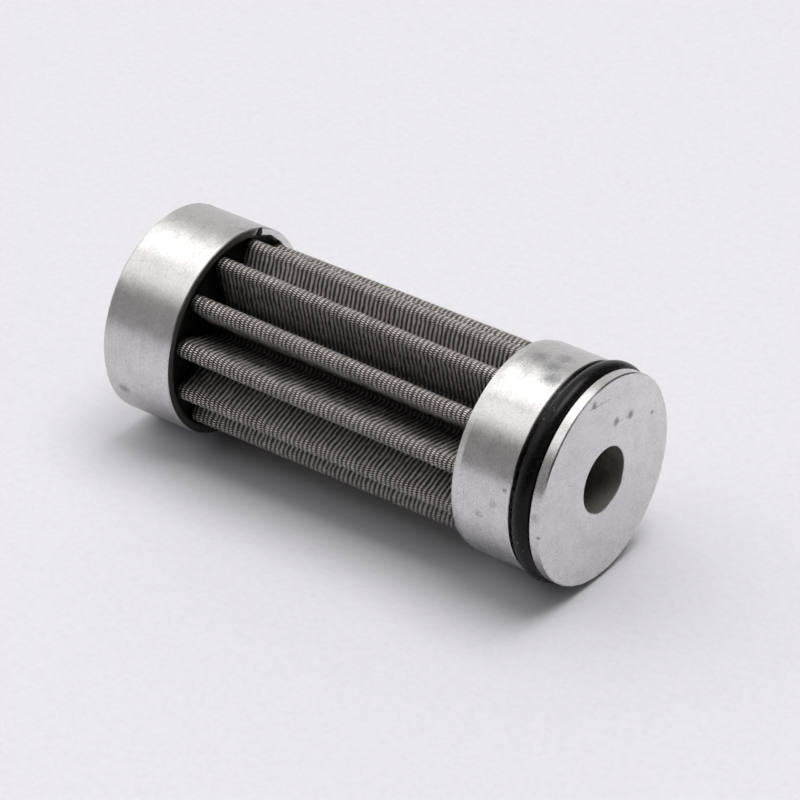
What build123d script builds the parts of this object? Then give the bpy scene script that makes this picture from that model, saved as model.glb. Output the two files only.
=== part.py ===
from build123d import *
from math import acos, atan2, cos, degrees, hypot, radians, sin
import os

# Filter cartridge of a hydraulic valve block. It stands on its closed rear cap.
# The axis is Z, the rear face is z = 0, and the bored front face is on top. Sizes are in millimetres.

# Outside of the cartridge
cap_diameter = 23.9
exposed_mesh_length = 37.8

# Front cap: a thin flange, the seal groove, and a cup that opens towards the mesh
flange_thickness = 1.3
groove_width = 2.7
groove_floor_diameter = 20.0
front_body_length = 7.3
front_floor_behind_groove = 1.2
front_lead_length = 0.8
front_lead_depth = 0.2
bore_diameter = 7.5
flange_chamfer = 0.15
groove_chamfer = 0.1
bore_chamfer = 0.1

# Rear cap: a closed cup
rear_cap_length = 9.1
rear_floor_thickness = 1.5
rear_edge_chamfer = 0.3

rear_rim_chamfer = 0.1

# Both cups
cup_wall = 1.0

# O-ring: standard section, seated on the groove floor and against the flange
seal_section = 2.4
seal_side_gap = 0.05

# Centre tube: perforated core under the pleats
tube_outer_diameter = 9.6
tube_wall = 0.8
tube_hole_diameter = 3.0
tube_holes_round = 4
tube_hole_row_pitch = 5.2
tube_plain_end = 2.8

# Pleated wire cloth
cloth_thickness = 0.4
pleat_count = 12
first_crest_angle = -77
crest_bend_radius = 0.8
root_bend_radius = 0.55
crest_to_cup_gap = 0.15
root_to_tube_gap = 0.1
cloth_end_gap = 0.6

# The pack is twisted between the rims of the cups, and its pleats are uneven: degrees that each crest
# stands off its even place at either rim. The hidden ones are taken as even.
pack_twist = 3.6
rear_crest_leans = (-1.4, -0.8, 0.2, 0.6, 2.1, 1.0, 0, 0, 0, 0, 0, 0)
front_crest_leans = (0, -1.4, -0.3, 0.4, 2.2, 1.0, 0, 0, 0, 0, 0, 0)

# Epoxy in both cups
potting_recess = 0.5

# Radii
cap_radius = cap_diameter / 2
cup_radius = cap_radius - cup_wall
groove_floor_radius = groove_floor_diameter / 2
bore_radius = bore_diameter / 2
tube_radius = tube_outer_diameter / 2
tube_bore_radius = tube_radius - tube_wall
crest_tip_radius = cup_radius - crest_to_cup_gap
root_tip_radius = tube_radius + root_to_tube_gap

# Heights above the rear face
rear_rim_height = rear_cap_length
front_rim_height = rear_rim_height + exposed_mesh_length
groove_rear_height = front_rim_height + front_body_length
groove_front_height = groove_rear_height + groove_width
front_face_height = groove_front_height + flange_thickness
front_floor_height = groove_rear_height - front_floor_behind_groove
cloth_bottom = rear_floor_thickness + cloth_end_gap
cloth_top = front_floor_height - cloth_end_gap
rear_potting_top = rear_rim_height - potting_recess
front_potting_bottom = front_rim_height + potting_recess

# Middle of the cloth: crests and roots are arcs about two circles of centres, joined by straight flanks
pleat_pitch = 360 / pleat_count
crest_centre_radius = crest_tip_radius - cloth_thickness / 2 - crest_bend_radius
root_centre_radius = root_tip_radius + cloth_thickness / 2 + root_bend_radius


def at_polar(radius, angle):
    """Point at a distance from the axis, at an angle in degrees from X."""
    return Vector(radius * cos(radians(angle)), radius * sin(radians(angle)))


def crest_angle_at(pleat, height):
    """Angle of a crest at a height. Each crest runs straight past its places at the two rims."""
    even_angle = first_crest_angle + pleat * pleat_pitch
    rear_turn = rear_crest_leans[pleat % pleat_count] - pack_twist / 2
    front_turn = front_crest_leans[pleat % pleat_count] + pack_twist / 2
    share = (height - rear_rim_height) / exposed_mesh_length
    return even_angle + rear_turn + share * (front_turn - rear_turn)


def flank_normal_angle(spread):
    """Direction, from the crest's own radius, that is square to the flank after it.

    The flank is the line that touches the crest arc on one side and the next root arc on the other,
    and spread is the angle between that crest and that root.
    """
    root_centre = at_polar(root_centre_radius, spread)
    along = root_centre.X - crest_centre_radius
    across = root_centre.Y
    reach = hypot(along, across)
    return degrees(atan2(across, along) - acos((crest_bend_radius + root_bend_radius) / reach))


def draw_pleats(stand_off, height):
    """Closed run round all the pleats at a height, at a distance outwards from the middle of the cloth."""
    crest_radius = crest_bend_radius + stand_off
    root_radius = root_bend_radius - stand_off
    for pleat in range(pleat_count):
        last_angle = crest_angle_at(pleat - 1, height)
        crest_angle = crest_angle_at(pleat, height)
        next_angle = crest_angle_at(pleat + 1, height)
        root_angle = (crest_angle + next_angle) / 2
        turn_before = flank_normal_angle((crest_angle - last_angle) / 2)
        turn_after = flank_normal_angle((next_angle - crest_angle) / 2)
        crest_centre = at_polar(crest_centre_radius, crest_angle)
        next_centre = at_polar(crest_centre_radius, next_angle)
        root_centre = at_polar(root_centre_radius, root_angle)
        crest_start = crest_centre + at_polar(crest_radius, crest_angle - turn_before)
        crest_end = crest_centre + at_polar(crest_radius, crest_angle + turn_after)
        root_start = root_centre - at_polar(root_radius, crest_angle + turn_after)
        root_end = root_centre - at_polar(root_radius, next_angle - turn_after)
        next_start = next_centre + at_polar(crest_radius, next_angle - turn_after)
        ThreePointArc(crest_start, at_polar(crest_centre_radius + crest_radius, crest_angle), crest_end)
        Line(crest_end, root_start)
        ThreePointArc(root_start, at_polar(root_centre_radius - root_radius, root_angle), root_end)
        Line(root_end, next_start)


# Rear cap: turned cup, closed at the bottom
with BuildPart() as rear_cap:
    with BuildSketch():
        Circle(cap_radius)
    extrude(amount=rear_cap_length)
    with BuildSketch(Plane.XY.offset(rear_floor_thickness)):
        Circle(cup_radius)
    extrude(until=Until.LAST, mode=Mode.SUBTRACT)
    outer_edges = rear_cap.faces().filter_by(GeomType.CYLINDER).sort_by(SortBy.RADIUS)[-1].edges()
    outer_circles = outer_edges.filter_by(GeomType.CIRCLE).sort_by(Axis.Z)
    chamfer(outer_circles[0], length=rear_edge_chamfer)
    chamfer(outer_circles[-1], length=rear_rim_chamfer)
rear_cap.part.label = "rear_cap"

# Front cap: turned from bar as one profile, with a slight lead-in on the rim of the cup
with BuildPart() as front_cap:
    with BuildSketch(Plane.XZ):
        with BuildLine():
            Polyline(
                (cup_radius, front_rim_height),
                (cap_radius - front_lead_depth, front_rim_height),
                (cap_radius, front_rim_height + front_lead_length),
                (cap_radius, groove_rear_height),
                (groove_floor_radius, groove_rear_height),
                (groove_floor_radius, groove_front_height),
                (cap_radius, groove_front_height),
                (cap_radius, front_face_height),
                (bore_radius, front_face_height),
                (bore_radius, front_floor_height),
                (cup_radius, front_floor_height),
                close=True,
            )
        make_face()
    revolve(axis=Axis.Z)
    groove_levels = front_cap.edges().filter_by(GeomType.CIRCLE).filter_by_position(
        Axis.Z, groove_rear_height, groove_front_height
    )
    face_level = front_cap.edges().filter_by(GeomType.CIRCLE).filter_by_position(
        Axis.Z, front_face_height, front_face_height
    )
    chamfer(groove_levels.group_by(SortBy.RADIUS)[-1], length=groove_chamfer)
    chamfer(face_level.sort_by(SortBy.RADIUS)[-1], length=flange_chamfer)
    chamfer(face_level.sort_by(SortBy.RADIUS)[0], length=bore_chamfer)
front_cap.part.label = "front_cap"

# O-ring: a plain ring, stretched onto the groove floor and pushed against the flange
seal_centre_radius = groove_floor_radius + seal_section / 2
seal_centre_height = groove_front_height - seal_side_gap - seal_section / 2
with BuildPart() as o_ring:
    with BuildSketch(Plane.XZ):
        with Locations((seal_centre_radius, seal_centre_height)):
            Circle(seal_section / 2)
    revolve(axis=Axis.Z)
o_ring.part.label = "o_ring"

# Pleated mesh: one folded sheet, its ends stood off the floors of both cups. Its outer side is lofted
# from end to end, because the pleats lean, and its inner side is then taken out the same way.
with BuildPart() as pleated_mesh:
    for stand_off, mode in ((cloth_thickness / 2, Mode.ADD), (-cloth_thickness / 2, Mode.SUBTRACT)):
        for height in (cloth_bottom, cloth_top):
            with BuildSketch(Plane.XY.offset(height)):
                with BuildLine():
                    draw_pleats(stand_off, height)
                make_face()
        loft(ruled=True, mode=mode)
pleated_mesh.part.label = "pleated_mesh"

# Centre tube: stands on the rear floor and meets the front floor, with staggered rows of oil holes
tube_length = front_floor_height - rear_floor_thickness
drilled_bottom = rear_rim_height + tube_plain_end
drilled_top = front_rim_height - tube_plain_end
hole_rows = int((drilled_top - drilled_bottom) / tube_hole_row_pitch) + 1
drilled_middle = (drilled_bottom + drilled_top) / 2
with BuildPart() as centre_tube:
    with BuildSketch(Plane.XY.offset(rear_floor_thickness)):
        Circle(tube_radius)
        Circle(tube_bore_radius, mode=Mode.SUBTRACT)
    extrude(amount=tube_length)
    for row in range(hole_rows):
        row_height = drilled_middle + (row - (hole_rows - 1) / 2) * tube_hole_row_pitch
        row_turn = (row % 2) * 180 / tube_holes_round
        for hole in range(tube_holes_round):
            hole_angle = row_turn + hole * 360 / tube_holes_round
            drill_plane = Plane(origin=(0, 0, row_height), z_dir=at_polar(1, hole_angle))
            with BuildSketch(drill_plane):
                Circle(tube_hole_diameter / 2)
            extrude(amount=tube_outer_diameter, mode=Mode.SUBTRACT)
centre_tube.part.label = "centre_tube"

# Rear potting: fills the rear cup outside the tube, and holds the ends of the pleats
with BuildPart() as rear_potting:
    with BuildSketch(Plane.XY.offset(rear_floor_thickness)):
        Circle(cup_radius)
        Circle(tube_radius, mode=Mode.SUBTRACT)
    extrude(amount=rear_potting_top - rear_floor_thickness)
    add(pleated_mesh.part, mode=Mode.SUBTRACT)
rear_potting.part.label = "rear_potting"

# Front potting: the same fill in the front cup
with BuildPart() as front_potting:
    with BuildSketch(Plane.XY.offset(front_potting_bottom)):
        Circle(cup_radius)
        Circle(tube_radius, mode=Mode.SUBTRACT)
    extrude(amount=front_floor_height - front_potting_bottom)
    add(pleated_mesh.part, mode=Mode.SUBTRACT)
front_potting.part.label = "front_potting"

os.makedirs("parts", exist_ok=True)
for piece in (rear_cap, front_cap, o_ring, pleated_mesh, centre_tube, rear_potting, front_potting):
    export_step(piece.part, f"parts/{piece.part.label}.step")
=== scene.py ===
from math import atan2, cos, pi, radians, sin

import bmesh
import bpy
import numpy as np
from mathutils import Matrix, Vector


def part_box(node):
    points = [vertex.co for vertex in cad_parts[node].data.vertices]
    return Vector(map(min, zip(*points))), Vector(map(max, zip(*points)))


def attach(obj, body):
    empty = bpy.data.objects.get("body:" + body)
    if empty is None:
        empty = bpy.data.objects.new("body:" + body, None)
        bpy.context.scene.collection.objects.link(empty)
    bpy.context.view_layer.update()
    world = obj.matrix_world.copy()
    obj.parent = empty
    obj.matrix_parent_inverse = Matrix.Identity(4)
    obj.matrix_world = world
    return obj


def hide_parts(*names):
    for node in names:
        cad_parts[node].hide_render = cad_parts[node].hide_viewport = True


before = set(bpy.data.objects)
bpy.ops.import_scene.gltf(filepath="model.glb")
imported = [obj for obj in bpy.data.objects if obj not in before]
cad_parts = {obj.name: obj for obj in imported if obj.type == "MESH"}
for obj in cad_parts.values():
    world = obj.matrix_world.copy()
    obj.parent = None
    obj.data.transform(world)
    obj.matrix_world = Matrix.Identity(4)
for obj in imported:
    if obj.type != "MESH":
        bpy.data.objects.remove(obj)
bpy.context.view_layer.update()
MM = 0.001

# Table, room light and camera.
# The cartridge stands on its rear cap in its own frame, but it was photographed lying on a pale table.
# So the table is a sheet beside it that touches the rear cap and the O-ring, and the camera is rolled to match.
TABLE_UP_ANGLE = radians(-62.2)
AXIS_TO_IMAGE = radians(36.4)
CAMERA_ELEVATION = radians(33.2)
CAMERA_AIM = Vector((-0.0018, 0.0006, 0.0306))
CAMERA_DISTANCE = 0.54
CAMERA_LENS = 225.0
SENSOR_WIDTH = 36.0
TABLE_SIZE = 1.6
TABLE_COLOUR = (0.7, 0.698, 0.742, 1)
BACKDROP_COLOUR = (0.85, 0.845, 0.88, 1)

axis = Vector((0, 0, 1))
table_up = Vector((cos(TABLE_UP_ANGLE), sin(TABLE_UP_ANGLE), 0))
across = table_up.cross(axis)
image_right = axis * cos(AXIS_TO_IMAGE) + across * sin(AXIS_TO_IMAGE)
toward_camera = axis * sin(AXIS_TO_IMAGE) - across * cos(AXIS_TO_IMAGE)
KEY_DIRECTION = table_up * 0.8 + across * 0.16 + axis * 0.02
KEY_SPREAD = radians(29)
KEY_LEVEL = 6.4
END_PANEL_LEVEL = 0.6
FRONT_END_LEVEL = 0.15


def add_node(tree, kind, inputs=None, **settings):
    """A shader node of the given kind. Inputs are values or other nodes' sockets, by name or number."""
    node = tree.nodes.new("ShaderNode" + kind)
    for name, value in settings.items():
        setattr(node, name, value)
    for key, value in (inputs or {}).items():
        if isinstance(value, bpy.types.NodeSocket):
            tree.links.new(value, node.inputs[key])
        else:
            node.inputs[key].default_value = value
    return node


def maths(tree, operation, *values):
    """Result of one Math node on one to three values or sockets."""
    return add_node(tree, "Math", dict(enumerate(values)), operation=operation).outputs[0]


def ramp(tree, value, low, high, out_low=0.0, out_high=1.0):
    """Smooth step of a value, from out_low at low to out_high at high."""
    inputs = {"Value": value, "From Min": low, "From Max": high, "To Min": out_low, "To Max": out_high}
    return add_node(tree, "MapRange", inputs, interpolation_type="SMOOTHSTEP").outputs[0]


def along(tree, vector, direction):
    """Component of a vector socket along a fixed direction."""
    inputs = {0: vector, 1: tuple(direction)}
    return add_node(tree, "VectorMath", inputs, operation="DOT_PRODUCT").outputs["Value"]


def mixed(tree, share, first, second):
    """Colour between two colours or sockets."""
    inputs = {"Factor": share, 6: first, 7: second}
    return add_node(tree, "Mix", inputs, data_type="RGBA").outputs[2]


def new_material(name):
    """Empty principled material, its tree, its shader node and its output node."""
    material = bpy.data.materials.new(name)
    material.use_nodes = True
    tree = material.node_tree
    tree.nodes.clear()
    shader = add_node(tree, "BsdfPrincipled")
    output = add_node(tree, "OutputMaterial", {"Surface": shader.outputs[0]})
    return material, tree, shader, output


def object_mm(tree):
    """Object coordinates in millimetres."""
    place = add_node(tree, "TexCoord").outputs["Object"]
    return add_node(tree, "VectorMath", {0: place, "Scale": 1 / MM}, operation="SCALE").outputs[0]


def light_room():
    """Room light as a function of direction: a wide overhead softbox with a seam, pale walls, a dark side.

    The angle that matters is the one round the cartridge's axis, measured from straight up.
    """
    world = bpy.data.worlds.new("studio")
    bpy.context.scene.world = world
    world.use_nodes = True
    tree = world.node_tree
    tree.nodes.clear()
    direction = add_node(tree, "TexCoord").outputs["Generated"]
    upward = along(tree, direction, table_up)
    sideways = along(tree, direction, across)
    lengthwise = along(tree, direction, axis)
    lean = maths(tree, "ARCTAN2", sideways, upward)
    overhead = maths(tree, "MULTIPLY", ramp(tree, lean, -0.95, -0.5), ramp(tree, lean, 0.75, 0.35))
    seam = maths(tree, "MULTIPLY", ramp(tree, lean, -0.30, -0.24), ramp(tree, lean, -0.18, -0.24))
    dark_side = ramp(tree, lean, -0.6, -1.0)
    darkness = ramp(tree, lengthwise, -0.35, 0.0, 0.33, 0.57)
    key = ramp(tree, along(tree, direction, KEY_DIRECTION.normalized()), cos(KEY_SPREAD), cos(KEY_SPREAD / 2))
    level = maths(tree, "MULTIPLY_ADD", overhead, 0.8, ramp(tree, lean, 0.7, 1.2, 0.66, 0.78))
    level = maths(tree, "MULTIPLY_ADD", seam, -0.7, level)
    level = maths(tree, "SUBTRACT", level, maths(tree, "MULTIPLY", dark_side, darkness))
    level = maths(tree, "MULTIPLY", level, ramp(tree, lengthwise, -0.3, 0.1, 1.0, FRONT_END_LEVEL))
    level = maths(tree, "MULTIPLY", level, ramp(tree, lengthwise, -0.95, -0.72, 0.3, 1.0))
    key = maths(tree, "MULTIPLY", key, ramp(tree, lengthwise, -0.18, 0.0))
    level = maths(tree, "MULTIPLY_ADD", key, KEY_LEVEL, level)
    end_panel = maths(tree, "MULTIPLY", ramp(tree, lengthwise, -0.68, -0.78), ramp(tree, lengthwise, -0.93, -0.87))
    level = maths(tree, "MULTIPLY_ADD", end_panel, END_PANEL_LEVEL, level)
    light = add_node(tree, "Background", {"Color": (1, 0.985, 0.975, 1), "Strength": level})
    backdrop = add_node(tree, "Background", {"Color": BACKDROP_COLOUR, "Strength": 1.0})
    seen = add_node(tree, "LightPath").outputs["Is Camera Ray"]
    both = add_node(tree, "MixShader", {0: seen, 1: light.outputs[0], 2: backdrop.outputs[0]})
    add_node(tree, "OutputWorld", {"Surface": both.outputs[0]})


def table_material():
    """Pale coated board with a faint mottle, see-through from behind."""
    material, tree, shader, output = new_material("table_board")
    mm = object_mm(tree)
    mottle = add_node(tree, "TexNoise", {"Vector": mm, "Scale": 1.2, "Detail": 9.0, "Roughness": 0.8}).outputs[0]
    darker = tuple(0.93 * channel for channel in TABLE_COLOUR[:3]) + (1,)
    shade = mixed(tree, ramp(tree, mottle, 0.3, 0.6), darker, TABLE_COLOUR)
    tree.links.new(shade, shader.inputs["Base Color"])
    shader.inputs["Roughness"].default_value = 0.55
    geometry = add_node(tree, "NewGeometry")
    seen = add_node(tree, "LightPath").outputs["Is Camera Ray"]
    behind = maths(tree, "MULTIPLY", geometry.outputs["Backfacing"], seen)
    clear = add_node(tree, "BsdfTransparent")
    both = add_node(tree, "MixShader", {0: behind, 1: shader.outputs[0], 2: clear.outputs[0]})
    tree.links.new(both.outputs[0], output.inputs["Surface"])
    return material


def lay_table():
    """Square sheet through the lowest lines of the rear cap and the O-ring as they lie on the table."""
    cap_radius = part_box("rear_cap")[1].x
    ring_low, ring_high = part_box("o_ring")
    ring_height = (ring_low.z + ring_high.z) / 2
    rise = axis * ring_height - table_up * (ring_high.x - cap_radius)
    lengthwise = rise.normalized()
    normal = across.cross(lengthwise)
    if normal.dot(table_up) < 0:
        normal = -normal
    middle = -table_up * cap_radius + rise / 2
    half = TABLE_SIZE / 2
    sideways = lengthwise.cross(normal)
    corners = [middle + lengthwise * half * i + sideways * half * j for i, j in ((-1, 1), (1, 1), (1, -1), (-1, -1))]
    mesh = bpy.data.meshes.new("table")
    mesh.from_pydata([tuple(corner) for corner in corners], [], [(0, 1, 2, 3)])
    mesh.update()
    if mesh.polygons[0].normal.dot(normal) < 0:
        mesh.flip_normals()
    table = bpy.data.objects.new("table", mesh)
    bpy.context.scene.collection.objects.link(table)
    mesh.materials.append(table_material())


def place_camera():
    """Camera above the table, level with it, so its image is upright as the table is."""
    back = toward_camera * cos(CAMERA_ELEVATION) + table_up * sin(CAMERA_ELEVATION)
    upright = back.cross(image_right)
    data = bpy.data.cameras.new("camera")
    data.lens = CAMERA_LENS
    data.sensor_width = SENSOR_WIDTH
    camera = bpy.data.objects.new("camera", data)
    turn = Matrix((image_right, upright, back)).transposed().to_4x4()
    camera.matrix_world = Matrix.Translation(CAMERA_AIM + back * CAMERA_DISTANCE) @ turn
    bpy.context.scene.collection.objects.link(camera)
    bpy.context.scene.camera = camera


light_room()
lay_table()
place_camera()
bpy.context.scene.view_settings.view_transform = "Standard"


# Rear cap.
# The real one is an aluminium cup turned from bar, with fine turning lines all over. Epoxy was smeared on its rim
# when the pleats were potted.
ALUMINIUM = (0.72, 0.71, 0.71, 1)
TURNING_PITCH = 0.05
EPOXY_FILM_COLOUR = (0.035, 0.036, 0.028, 1)
SCUFF_COLOUR = (0.13, 0.135, 0.15, 1)
CAP_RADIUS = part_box("rear_cap")[1].x / MM
REAR_RIM_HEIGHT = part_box("rear_cap")[1].z / MM
CUP_RADIUS = CAP_RADIUS - 1.0
FILM_DIRECTION = (cos(radians(40)), sin(radians(40)), 0)


def noise(tree, place, scale, detail, roughness=0.5):
    """Value of a noise at a place."""
    inputs = {"Vector": place, "Scale": scale, "Detail": detail, "Roughness": roughness}
    return add_node(tree, "TexNoise", inputs).outputs[0]


def on_side(angle, height):
    """Place on the outside of a cap, in millimetres, at an angle in degrees."""
    return (CAP_RADIUS * cos(radians(angle)), CAP_RADIUS * sin(radians(angle)), height)


def scuffs(tree, mm, places):
    """Mask of dark marks: rough noise that shows only about the given places, each a centre and a reach."""
    area = 0.0
    for centre, reach in places:
        offset = add_node(tree, "VectorMath", {0: mm, 1: centre}, operation="DISTANCE").outputs["Value"]
        area = maths(tree, "MAXIMUM", area, ramp(tree, offset, reach, 0.0))
    speckle = noise(tree, mm, 5.0, 6.0, 0.8)
    return ramp(tree, maths(tree, "MULTIPLY_ADD", area, 0.45, speckle), 0.62, 1.0)


def scratch(tree, mm, start, end, width):
    """Mask of a broken scratch along a straight line from start to end."""
    start, end = Vector(start), Vector(end)
    run = end - start
    share = along(tree, add_node(tree, "VectorMath", {0: mm, 1: start}, operation="SUBTRACT").outputs[0], run / run.length_squared)
    share = add_node(tree, "Clamp", {"Value": share}).outputs[0]
    nearest = add_node(tree, "VectorMath", {0: tuple(run), "Scale": share}, operation="SCALE").outputs[0]
    nearest = add_node(tree, "VectorMath", {0: nearest, 1: start}).outputs[0]
    offset = add_node(tree, "VectorMath", {0: mm, 1: nearest}, operation="DISTANCE").outputs["Value"]
    broken = noise(tree, mm, 2.5, 4.0, 0.7)
    return ramp(tree, maths(tree, "MULTIPLY_ADD", broken, 1.6 * width, offset), 1.3 * width, 0.7 * width)


def turned_metal(name, roughness, streak_depth):
    """Turned aluminium, with lines that run round the axis on the outside and as rings on flat faces.

    The lines are noise that is stretched round the axis: it changes fast with height and with distance from the axis.
    They blur what is reflected across them far more than along them. Over them lie clouds, a fine grain and a few
    pits. The flat faces are nearly free of rings.
    """
    material, tree, shader, output = new_material(name)
    mm = object_mm(tree)
    parts = add_node(tree, "SeparateXYZ", {0: mm}).outputs
    flat = add_node(tree, "CombineXYZ", {0: parts[0], 1: parts[1]}).outputs[0]
    radius = add_node(tree, "VectorMath", {0: flat}, operation="LENGTH").outputs["Value"]
    outward = add_node(tree, "VectorMath", {0: flat}, operation="NORMALIZE").outputs[0]
    facing = add_node(tree, "SeparateXYZ", {0: add_node(tree, "NewGeometry").outputs["Normal"]}).outputs[2]
    on_face = maths(tree, "GREATER_THAN", maths(tree, "ABSOLUTE", facing), 0.8)
    run = maths(tree, "DIVIDE", maths(tree, "ADD", parts[2], radius), TURNING_PITCH)
    around = add_node(tree, "VectorMath", {0: flat, "Scale": 0.3}, operation="SCALE").outputs[0]
    place = add_node(tree, "VectorMath", {0: around, 1: add_node(tree, "CombineXYZ", {2: run}).outputs[0]}).outputs[0]
    lines = noise(tree, place, 0.5, 4.0, 0.6)
    clouds = noise(tree, mm, 0.5, 8.0, 0.7)
    grain = noise(tree, mm, 4.0, 3.0, 0.7)
    pits = ramp(tree, noise(tree, mm, 2.6, 2.0, 0.6), 0.7, 0.75)
    shade = mixed(tree, ramp(tree, clouds, 0.3, 0.65), tuple(0.85 * c for c in ALUMINIUM[:3]) + (1,), ALUMINIUM)
    fine = maths(tree, "MULTIPLY", ramp(tree, lines, 0.3, 0.6, 0.9, 1.0), ramp(tree, grain, 0.3, 0.65, 0.86, 1.0))
    fine = maths(tree, "MULTIPLY_ADD", maths(tree, "SUBTRACT", 1.0, fine), maths(tree, "MULTIPLY", on_face, 0.5), fine)
    fine = maths(tree, "MULTIPLY", fine, maths(tree, "MULTIPLY_ADD", pits, -0.5, 1.0))
    fine = maths(tree, "MULTIPLY", fine, maths(tree, "MULTIPLY_ADD", on_face, 0.07, 1.0))
    shade = add_node(tree, "VectorMath", {0: shade, "Scale": fine}, operation="SCALE").outputs[0]
    uneven = maths(tree, "MULTIPLY_ADD", clouds, 0.2, roughness - 0.1)
    tree.links.new(maths(tree, "MULTIPLY_ADD", lines, 0.12, maths(tree, "SUBTRACT", uneven, 0.06)), shader.inputs["Roughness"])
    tree.links.new(shade, shader.inputs["Base Color"])
    shader.inputs["Metallic"].default_value = 1.0
    shader.inputs["Anisotropic"].default_value = 0.8
    across_lines = add_node(tree, "Mix", {"Factor": on_face, 4: (0, 0, 1), 5: outward}, data_type="VECTOR").outputs[1]
    tree.links.new(across_lines, shader.inputs["Tangent"])
    wavy = noise(tree, mm, 0.7, 2.0)
    relief = maths(tree, "MULTIPLY_ADD", wavy, 1.6, maths(tree, "MULTIPLY", lines, maths(tree, "SUBTRACT", 1.0, maths(tree, "MULTIPLY", on_face, 0.8))))
    bump = add_node(tree, "Bump", {"Strength": 1.0, "Distance": streak_depth * MM, "Height": relief})
    tree.links.new(bump.outputs[0], shader.inputs["Normal"])
    return material, tree, shader, {"mm": mm, "height": parts[2], "radius": radius, "outward": outward, "facing": facing, "shade": shade, "clouds": clouds}


def cover(tree, shader, metal, masks):
    """Lays dull coats over the metal, each a mask and a colour."""
    shade = metal["shade"]
    bare = 1.0
    for mask, colour in masks:
        shade = mixed(tree, mask, shade, colour)
        bare = maths(tree, "MULTIPLY", bare, maths(tree, "SUBTRACT", 1.0, mask))
    tree.links.new(shade, shader.inputs["Base Color"])
    tree.links.new(bare, shader.inputs["Metallic"])
    shader.inputs["Specular IOR Level"].default_value = 0.2


def finish_node(node_name, material):
    """Gives a CAD node its material."""
    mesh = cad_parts[node_name].data
    mesh.materials.clear()
    mesh.materials.append(material)


def dress_rear_cap():
    """Turned cup. A film of epoxy darkens its inner wall and most of its rim, and a few smudges lie on its outside."""
    material, tree, shader, metal = turned_metal("rear_cap_aluminium", 0.32, 0.008)
    side = along(tree, metal["outward"], FILM_DIRECTION)
    thick = ramp(tree, maths(tree, "MULTIPLY_ADD", metal["clouds"], 0.25, side), -0.48, -0.36)
    on_rim = maths(tree, "GREATER_THAN", metal["height"], REAR_RIM_HEIGHT - 0.02)
    on_rim = maths(tree, "MULTIPLY", on_rim, ramp(tree, metal["radius"], CAP_RADIUS - 0.09, CAP_RADIUS - 0.17))
    inside = maths(tree, "LESS_THAN", metal["radius"], CUP_RADIUS + 0.05)
    bead = ramp(tree, maths(tree, "MULTIPLY_ADD", metal["clouds"], 0.3, metal["radius"]), CUP_RADIUS + 0.4, CUP_RADIUS + 0.3)
    film = maths(tree, "MULTIPLY", on_rim, maths(tree, "MAXIMUM", maths(tree, "MULTIPLY", thick, 0.94), bead))
    film = maths(tree, "MAXIMUM", inside, film)
    smudges = scuffs(tree, metal["mm"], [(on_side(49, 2.3), 1.6), (on_side(-91, 1.5), 1.2), (on_side(-74, 8.6), 1.1)])
    cover(tree, shader, metal, [(maths(tree, "MULTIPLY", smudges, 0.6), SCUFF_COLOUR), (film, EPOXY_FILM_COLOUR)])
    finish_node("rear_cap", material)


def smear_epoxy(smears):
    """Domes of epoxy that ran over the rim of the rear cup.

    Each is a grid of angle round the dome and share of its reach. Its outline is an ellipse that waves with the angle,
    and its height falls off as a half circle does. It closes below on a flat underside, just under the rim face.
    """
    sides, rings = 36, 8
    turn = np.arange(sides) / sides * 2 * pi
    reach = np.sin(np.linspace(0, pi / 2, rings))
    piece = bmesh.new()
    for angle, radius, half_round, half_out, thickness in smears:
        waves = 1 + 0.1 * np.sin(3 * turn + angle) + 0.06 * np.sin(5 * turn + 2 * angle)
        across_rim = radius + half_out * reach[:, None] * np.cos(turn) * waves
        round_rim = half_round * reach[:, None] * np.sin(turn) * waves
        swept = radians(angle) + round_rim / radius
        top = REAR_RIM_HEIGHT + thickness * np.sqrt(1 - reach ** 2)[:, None] + 0 * across_rim
        upper = np.stack([across_rim * np.cos(swept), across_rim * np.sin(swept), top], axis=-1)
        lower = upper[::-1] * (1, 1, 0) + (0, 0, REAR_RIM_HEIGHT - 0.02)
        points = np.concatenate([upper[1:], lower[:-1]]).reshape(-1, 3)
        verts = [piece.verts.new(point * MM) for point in points]
        crown = piece.verts.new(upper[0, 0] * MM)
        base = piece.verts.new(lower[-1, 0] * MM)
        loops = 2 * (rings - 1)
        for side in range(sides):
            following = (side + 1) % sides
            piece.faces.new((crown, verts[side], verts[following]))
            for ring in range(loops - 1):
                near, far = ring * sides, (ring + 1) * sides
                piece.faces.new((verts[near + side], verts[far + side], verts[far + following], verts[near + following]))
            last = (loops - 1) * sides
            piece.faces.new((base, verts[last + following], verts[last + side]))
    bmesh.ops.recalc_face_normals(piece, faces=piece.faces)
    mesh = bpy.data.meshes.new("epoxy_smears")
    piece.to_mesh(mesh)
    piece.free()
    mesh.shade_smooth()
    smears_piece = bpy.data.objects.new("epoxy_smears", mesh)
    bpy.context.scene.collection.objects.link(smears_piece)
    return smears_piece


dress_rear_cap()


# Front cap.
# The real one is turned from the same bar, with the bore, the seal groove and a thin flange. Its outside is smoother
# and has a few dark scuffs, oil darkens the wall of its bore, and its face is scratched.
BORE_RADIUS = 3.75
OILY_COLOUR = (0.1, 0.094, 0.075, 1)
RUST_COLOUR = (0.3, 0.24, 0.2, 1)
FACE_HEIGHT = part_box("front_cap")[1].z / MM


def on_face_at(angle, radius):
    """Place on the front face, in millimetres."""
    return (radius * cos(radians(angle)), radius * sin(radians(angle)), FACE_HEIGHT)


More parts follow.
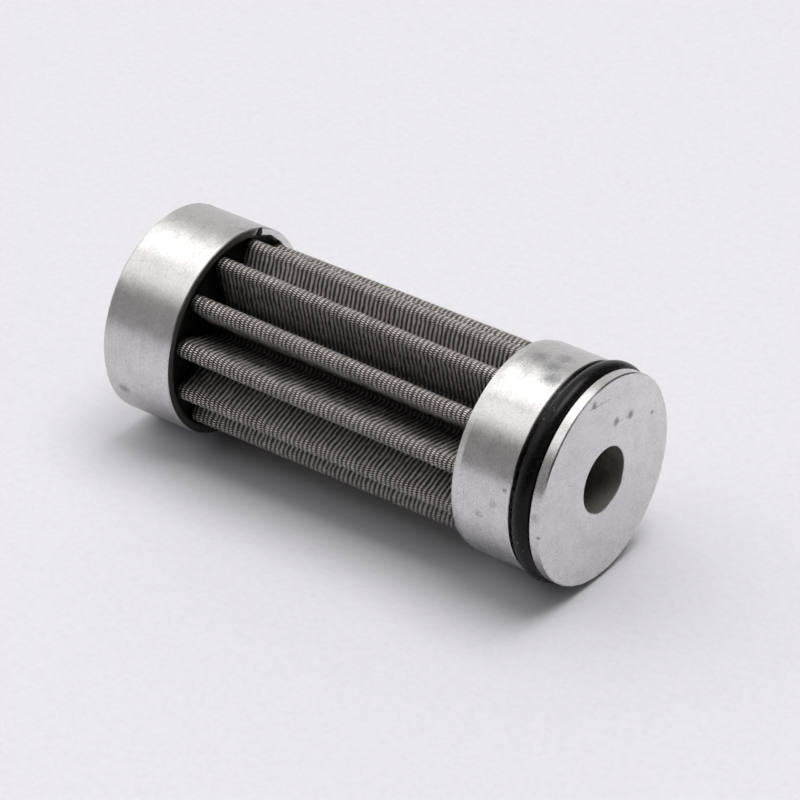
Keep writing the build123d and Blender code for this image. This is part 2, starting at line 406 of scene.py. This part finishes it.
def dress_front_cap():
    """Turned cap with the bore."""
    material, tree, shader, metal = turned_metal("front_cap_aluminium", 0.28, 0.006)
    dark = [(on_side(-64, 49.6), 2.6), (on_side(-60, 51.8), 2.6), (on_side(-52, 52.8), 2.6), (on_side(-70, 51.8), 2.4)]
    dark += [(on_side(32, 58.1), 0.5), (on_side(12.8, 53.5), 0.5), (on_side(-2, 57.6), 0.6)]
    dark += [(on_face_at(-50, 10.7), 0.9), (on_face_at(-80, 6.6), 1.1), (on_face_at(-101, 7.4), 1.1), (on_face_at(-128, 9.6), 0.5)]
    long_scratch = scratch(tree, metal["mm"], on_face_at(-46, 10.7), on_face_at(-66, 9.8), 0.16)
    short_scratch = scratch(tree, metal["mm"], on_face_at(-78, 6.4), on_face_at(-104, 7.6), 0.12)
    scratched = maths(tree, "MAXIMUM", long_scratch, maths(tree, "MULTIPLY", short_scratch, 0.5))
    brown = [(on_side(22.8, 52.3), 1.1), (on_side(32, 50.5), 1.1), (on_side(21, 57.6), 1.2)]
    marked = maths(tree, "MULTIPLY", scuffs(tree, metal["mm"], dark), 0.75)
    rusty = maths(tree, "MULTIPLY", scuffs(tree, metal["mm"], brown), 0.4)
    oily = maths(tree, "LESS_THAN", metal["radius"], BORE_RADIUS + 0.02)
    cover(tree, shader, metal, [(marked, SCUFF_COLOUR), (scratched, SCUFF_COLOUR), (rusty, RUST_COLOUR), (maths(tree, "MULTIPLY", oily, 0.8), OILY_COLOUR)])
    finish_node("front_cap", material)


dress_front_cap()


# O-ring.
# The real one is a moulded black nitrile ring, stretched into the groove behind the flange.
RING_SIDES, RING_SECTIONS = 480, 60


def closed_grid(name, points, across_values, up_values):
    """Mesh from a grid of points that closes on itself both ways, with a UV map of the given values.

    The values have one more entry than the grid has columns or rows, so that the map doesn't fold back at the seams.
    """
    rows, columns = points.shape[:2]
    row, column = np.meshgrid(np.arange(rows), np.arange(columns), indexing="ij")
    next_row, next_column = (row + 1) % rows, (column + 1) % columns
    corners = [row * columns + column, row * columns + next_column]
    corners += [next_row * columns + next_column, next_row * columns + column]
    faces = np.stack(corners, axis=-1).reshape(-1, 4)
    mesh = bpy.data.meshes.new(name)
    mesh.from_pydata((points.reshape(-1, 3) * MM).tolist(), [], faces.tolist())
    u = np.stack([across_values[column], across_values[column + 1]] * 2, axis=-1)[..., [0, 1, 3, 2]]
    v = np.stack([up_values[row], up_values[row], up_values[row + 1], up_values[row + 1]], axis=-1)
    uv = np.stack([u, v], axis=-1).astype(np.float32)
    mesh.uv_layers.new(name="weave").data.foreach_set("uv", uv.ravel())
    mesh.shade_smooth()
    piece = bpy.data.objects.new(name, mesh)
    bpy.context.scene.collection.objects.link(piece)
    return piece


def mould_ring():
    """Torus: the section is a circle of angle v, and it is carried round the axis by angle u."""
    low, high = (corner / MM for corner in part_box("o_ring"))
    section = (high.z - low.z) / 2
    middle = high.x - section
    u = np.linspace(0, 2 * pi, RING_SIDES + 1)
    v = np.linspace(0, 2 * pi, RING_SECTIONS + 1)
    out = middle + section * np.cos(v[:-1, None])
    height = (low.z + high.z) / 2 + section * np.sin(v[:-1, None]) + 0 * u[:-1]
    points = np.stack([out * np.cos(u[:-1]), out * np.sin(u[:-1]), height], axis=-1)
    return closed_grid("rubber_ring", points, u, v)


def seal_material():
    """Black rubber with a little dust, slightly uneven in its gloss."""
    material, tree, shader, output = new_material("seal_rubber")
    mm = object_mm(tree)
    dust = noise(tree, mm, 3.0, 6.0)
    specks = ramp(tree, noise(tree, mm, 2.2, 1.0), 0.74, 0.78)
    bare = mixed(tree, ramp(tree, dust, 0.5, 0.8), (0.003, 0.003, 0.0035, 1), (0.014, 0.014, 0.015, 1))
    tree.links.new(mixed(tree, specks, bare, (0.12, 0.12, 0.12, 1)), shader.inputs["Base Color"])
    tree.links.new(ramp(tree, dust, 0.2, 0.8, 0.22, 0.34), shader.inputs["Roughness"])
    shader.inputs["Specular IOR Level"].default_value = 0.16
    return material


rubber_ring = mould_ring()
rubber_ring.data.materials.append(seal_material())
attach(rubber_ring, "root")
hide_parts("o_ring")


# Pleated wire cloth.
# The real one is stainless wire in plain Dutch weave: fine wires lie packed along the cartridge and pass over and
# under thicker wires that run round the folds. Both ends are set in the epoxy, which has crept a little way up.
PLEAT_COUNT = 12
FIRST_CREST_ANGLE = -77
PACK_TWIST = 3.6
REAR_CREST_LEANS = (-1.4, -0.8, 0.2, 0.6, 2.1, 1.0, 0, 0, 0, 0, 0, 0)
FRONT_CREST_LEANS = (0, -1.4, -0.3, 0.4, 2.2, 1.0, 0, 0, 0, 0, 0, 0)
CLOTH_THICKNESS = 0.4
CREST_TIP_RADIUS = 10.8
ROOT_TIP_RADIUS = 4.9
CREST_BEND_RADIUS = 0.8
ROOT_BEND_RADIUS = 0.55
RIM_HEIGHTS = (9.1, 46.9)
CREEP_HEIGHT = 0.9
RIB_PITCH = 0.577
RIB_DEPTH = 0.12
CREST_RIB_DEPTH = 0.06
FINE_WIRE_PITCH = 0.1
ROWS_PER_RIB = 4
INNER_ROWS = 10
CREST_COLUMNS, FLANK_COLUMNS, ROOT_COLUMNS = 10, 3, 5
CLOTH_METAL = (0.98, 0.925, 0.88, 1)
# Near black, used both for the painted shade of the weave and for the epoxy that crept up the cloth.
CLOTH_SHADE_AND_EPOXY = (0.012, 0.011, 0.01, 1)


def polar(angle):
    """Unit vectors at angles in degrees, along a last axis of two."""
    return np.stack([np.cos(np.radians(angle)), np.sin(np.radians(angle))], axis=-1)


def crest_angles(heights):
    """Angle of each crest at each height. Each crest runs straight past its places at the two rims."""
    share = (heights[:, None] - RIM_HEIGHTS[0]) / (RIM_HEIGHTS[1] - RIM_HEIGHTS[0])
    rear, front = np.array(REAR_CREST_LEANS) - PACK_TWIST / 2, np.array(FRONT_CREST_LEANS) + PACK_TWIST / 2
    even = FIRST_CREST_ANGLE + np.arange(PLEAT_COUNT) * 360 / PLEAT_COUNT
    return even + rear + share * (front - rear)


def flank_normal(spread, crest_centre, root_centre):
    """Direction, from a crest's radius, square to the line that touches the crest arc and then the root arc."""
    run = root_centre * np.cos(np.radians(spread)) - crest_centre
    rise = root_centre * np.sin(np.radians(spread))
    tilt = np.arccos((CREST_BEND_RADIUS + ROOT_BEND_RADIUS) / np.hypot(run, rise))
    return np.degrees(np.arctan2(rise, run) - tilt)


def fold_cloth(heights):
    """Middle line of the folded cloth, and the directions square to it, at each height.

    Each pleat is an arc round the crest, a flank that touches it, an arc round the root that bends the other way, and
    a flank up to the next crest. The arrays are heights by columns round the pleats by two.
    """
    crest_centre = CREST_TIP_RADIUS - CLOTH_THICKNESS / 2 - CREST_BEND_RADIUS
    root_centre = ROOT_TIP_RADIUS + CLOTH_THICKNESS / 2 + ROOT_BEND_RADIUS
    crest = crest_angles(heights)
    following = np.roll(crest, -1, axis=1)
    following[:, -1] += 360
    after = flank_normal((following - crest) / 2, crest_centre, root_centre)
    before = np.roll(after, 1, axis=1)
    root = (crest + following) / 2
    shares = np.linspace(0, 1, CREST_COLUMNS)
    facing = (crest - before)[..., None] + (before + after)[..., None] * shares
    crest_arc = crest_centre * polar(crest)[:, :, None] + CREST_BEND_RADIUS * polar(facing)
    shares = np.linspace(0, 1, ROOT_COLUMNS)
    turning = (crest + after)[..., None] + (following - crest - 2 * after)[..., None] * shares
    root_arc = root_centre * polar(root)[:, :, None] - ROOT_BEND_RADIUS * polar(turning)
    next_start = np.roll(crest_arc[:, :, 0], -1, axis=1)
    shares = (np.arange(FLANK_COLUMNS) + 1)[:, None] / (FLANK_COLUMNS + 1)
    inward = crest_arc[:, :, None, -1] * (1 - shares) + root_arc[:, :, None, 0] * shares
    outward = root_arc[:, :, None, -1] * (1 - shares) + next_start[:, :, None] * shares
    inward_facing = np.repeat(facing[..., -1:], FLANK_COLUMNS, axis=2)
    outward_facing = np.repeat(turning[..., -1:], FLANK_COLUMNS, axis=2)
    line = np.concatenate([crest_arc, inward, root_arc, outward], axis=2)
    square = polar(np.concatenate([facing, inward_facing, turning, outward_facing], axis=2))
    columns = PLEAT_COUNT * line.shape[2]
    return line.reshape(len(heights), columns, 2), square.reshape(len(heights), columns, 2)


def weave_cloth():
    """The folded cloth with its ribs as real relief: the outer wall dips between the thick wires.

    The dip is a squared cosine, and it is shallow over the crests, where the cloth is drawn tight.
    A closed skin: up the outer wall row by row, then down the plain inner wall.
    """
    low, high = (corner.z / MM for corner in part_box("pleated_mesh"))
    ribs = np.arange(np.ceil(low / RIB_PITCH * ROWS_PER_RIB), high / RIB_PITCH * ROWS_PER_RIB) / ROWS_PER_RIB
    outer_heights = np.concatenate([[low], ribs[1:-1] * RIB_PITCH, [high]])
    dip = 1 - np.abs(np.cos(pi * outer_heights / RIB_PITCH)) ** 2
    inner_heights = np.linspace(high, low, INNER_ROWS)
    heights = np.concatenate([outer_heights, inner_heights])
    line, square = fold_cloth(heights)
    tight = np.clip((np.hypot(*np.moveaxis(line, 2, 0)) - CREST_TIP_RADIUS + 1.4) / 1.0, 0, 1)
    depth = RIB_DEPTH + (CREST_RIB_DEPTH - RIB_DEPTH) * tight
    offsets = CLOTH_THICKNESS / 2 - depth * np.concatenate([dip, np.zeros(INNER_ROWS)])[:, None]
    offsets[len(outer_heights):] = -CLOTH_THICKNESS / 2
    flat = line + square * offsets[..., None]
    points = np.concatenate([flat, np.broadcast_to(heights[:, None, None], flat.shape[:2] + (1,))], axis=2)
    middle = line[len(outer_heights) // 2]
    steps = np.hypot(*(np.roll(middle, -1, axis=0) - middle).T)
    lengths = np.concatenate([[0], np.cumsum(steps)])
    pairs = np.round(lengths[-1] / (2 * FINE_WIRE_PITCH))
    across_values = lengths / lengths[-1] * 2 * pairs
    up_values = np.concatenate([heights, heights[:1]]) / RIB_PITCH
    return closed_grid("wire_cloth", points, across_values, up_values)


def wire_material():
    """Stainless wire cloth. Every fine wire weaves over one thick wire and under the next, its neighbours opposite.

    The lift of a wire is a cosine along it, and across it it is round. Painted shade darkens the low stretches and the
    gaps between wires, which leaves painted glints on the humps. Down the flanks painted shade also darkens the
    grooves between the ribs, and painted shade deepens towards the root of each fold. Epoxy blackens the cloth close
    to each cup.
    """
    material, tree, shader, output = new_material("wire_cloth")
    mm = object_mm(tree)
    stray = add_node(tree, "TexNoise", {"Vector": mm, "Scale": 0.9, "Detail": 4.0}).outputs["Color"]
    stray = add_node(tree, "VectorMath", {0: stray, 1: (0.5, 0.5, 0.5)}, operation="SUBTRACT").outputs[0]
    stray = add_node(tree, "VectorMath", {0: stray, 1: (1.2, 0.9, 0.0)}, operation="MULTIPLY").outputs[0]
    uv = add_node(tree, "UVMap", uv_map="weave").outputs[0]
    weave = add_node(tree, "SeparateXYZ", {0: add_node(tree, "VectorMath", {0: uv, 1: stray}).outputs[0]}).outputs
    wire = maths(tree, "FLOOR", maths(tree, "ADD", weave[0], 0.5))
    lift = maths(tree, "COSINE", maths(tree, "MULTIPLY", maths(tree, "ADD", wire, weave[1]), pi))
    beside = maths(tree, "MULTIPLY", maths(tree, "SUBTRACT", weave[0], wire), 2.0)
    roundness = maths(tree, "SUBTRACT", 1.0, maths(tree, "MULTIPLY", beside, beside))
    height_of_wire = maths(tree, "MULTIPLY_ADD", roundness, 0.5, lift)
    crossing = maths(tree, "FLOOR", maths(tree, "MULTIPLY", maths(tree, "ADD", wire, maths(tree, "ADD", weave[1], 1.0)), 0.5))
    cell = add_node(tree, "CombineXYZ", {0: wire, 1: crossing}).outputs[0]
    chance = add_node(tree, "TexWhiteNoise", {"Vector": cell}, noise_dimensions="3D").outputs["Value"]
    parts = add_node(tree, "SeparateXYZ", {0: mm}).outputs
    flat = add_node(tree, "CombineXYZ", {0: parts[0], 1: parts[1]}).outputs[0]
    radius = add_node(tree, "VectorMath", {0: flat}, operation="LENGTH").outputs["Value"]
    flank = ramp(tree, radius, CREST_TIP_RADIUS - 0.4, CREST_TIP_RADIUS - 1.4)
    ridge = maths(tree, "ABSOLUTE", maths(tree, "COSINE", maths(tree, "MULTIPLY", weave[1], pi)))
    # Painted shade in the grooves between the ribs, a little stronger down the flanks.
    painted_groove_strength = maths(tree, "MULTIPLY_ADD", flank, 0.15, 0.7)
    painted_groove_shade = maths(tree, "MULTIPLY", painted_groove_strength, ramp(tree, ridge, 0.95, maths(tree, "MULTIPLY_ADD", flank, 0.15, 0.4)))
    # Painted shade that deepens towards the root of each fold.
    depth = ramp(tree, radius, ROOT_TIP_RADIUS + 0.3, ROOT_TIP_RADIUS + 2.4, 0.25, 1.0)
    # Painted glints on the humps of the wires, and painted shade on their low stretches and in the gaps between them,
    # milder down the flanks.
    painted_wire_shading = maths(tree, "MULTIPLY", ramp(tree, lift, -0.5, 0.9), ramp(tree, roundness, 0.05, 0.75))
    painted_wire_shading = maths(tree, "MULTIPLY_ADD", maths(tree, "SUBTRACT", 1.0, painted_wire_shading), maths(tree, "MULTIPLY", flank, 0.35), painted_wire_shading)
    painted_lit_share = maths(tree, "MULTIPLY", painted_wire_shading, maths(tree, "SUBTRACT", 1.0, painted_groove_shade))
    patchy = add_node(tree, "TexNoise", {"Vector": mm, "Scale": 0.5, "Detail": 5.0}).outputs[0]
    metal = mixed(tree, ramp(tree, patchy, 0.35, 0.65), tuple(0.85 * c for c in CLOTH_METAL[:3]) + (1,), CLOTH_METAL)
    painted_lit_share = maths(tree, "MULTIPLY", painted_lit_share, maths(tree, "MULTIPLY_ADD", chance, 0.45, 0.78))
    # The cloth's colour runs from the metal down to near black under this painted shade and these painted glints.
    weave_with_painted_shade = mixed(tree, maths(tree, "MULTIPLY", painted_lit_share, depth), CLOTH_SHADE_AND_EPOXY, metal)
    creep = maths(tree, "MULTIPLY_ADD", patchy, 1.2, -0.6)
    near_rear = ramp(tree, maths(tree, "ADD", parts[2], creep), RIM_HEIGHTS[0] + CREEP_HEIGHT, RIM_HEIGHTS[0])
    near_front = ramp(tree, maths(tree, "ADD", parts[2], creep), RIM_HEIGHTS[1] - CREEP_HEIGHT, RIM_HEIGHTS[1])
    wet = maths(tree, "MAXIMUM", near_rear, near_front)
    tree.links.new(mixed(tree, wet, weave_with_painted_shade, CLOTH_SHADE_AND_EPOXY), shader.inputs["Base Color"])
    shader.inputs["Metallic"].default_value = 0.96
    tree.links.new(ramp(tree, patchy, 0.3, 0.7, 0.42, 0.52), shader.inputs["Roughness"])
    bump = add_node(tree, "Bump", {"Strength": 1.0, "Distance": 0.04 * MM, "Height": height_of_wire})
    tree.links.new(bump.outputs[0], shader.inputs["Normal"])
    return material


wire_cloth = weave_cloth()
wire_cloth.data.materials.append(wire_material())
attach(wire_cloth, "root")
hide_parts("pleated_mesh")


# Centre tube.
# The real one is a drilled steel tube under the pleats, seen only down the bore.


def dress_tube():
    """Dull drawn steel with a film of oil."""
    material, tree, shader, output = new_material("core_steel")
    mm = object_mm(tree)
    film = add_node(tree, "TexNoise", {"Vector": mm, "Scale": 0.8, "Detail": 6.0}).outputs[0]
    tree.links.new(mixed(tree, ramp(tree, film, 0.3, 0.7), (0.16, 0.15, 0.13, 1), (0.3, 0.29, 0.27, 1)), shader.inputs["Base Color"])
    shader.inputs["Metallic"].default_value = 1.0
    tree.links.new(ramp(tree, film, 0.3, 0.7, 0.35, 0.5), shader.inputs["Roughness"])
    finish_node("centre_tube", material)


dress_tube()


# Potting.
# The real one is black filled epoxy, poured into each cup round the ends of the pleats.


def dress_potting():
    """Black epoxy with a slightly wavy gloss."""
    material, tree, shader, output = new_material("potting_epoxy")
    mm = object_mm(tree)
    wave = add_node(tree, "TexNoise", {"Vector": mm, "Scale": 0.9, "Detail": 4.0}).outputs[0]
    tree.links.new(mixed(tree, ramp(tree, wave, 0.4, 0.7), (0.008, 0.008, 0.008, 1), (0.02, 0.019, 0.018, 1)), shader.inputs["Base Color"])
    tree.links.new(ramp(tree, wave, 0.3, 0.7, 0.45, 0.6), shader.inputs["Roughness"])
    shader.inputs["Specular IOR Level"].default_value = 0.15
    bump = add_node(tree, "Bump", {"Strength": 1.0, "Distance": 0.15 * MM, "Height": wave})
    tree.links.new(bump.outputs[0], shader.inputs["Normal"])
    for name in ("rear_potting", "front_potting"):
        finish_node(name, material)
    return material


epoxy = dress_potting()
epoxy_smears = smear_epoxy([(-86, 11.44, 0.55, 0.5, 0.1), (-98, 11.08, 0.8, 0.2, 0.12), (-109, 11.05, 0.6, 0.16, 0.1)])
epoxy_smears.data.materials.append(epoxy)
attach(epoxy_smears, "root")
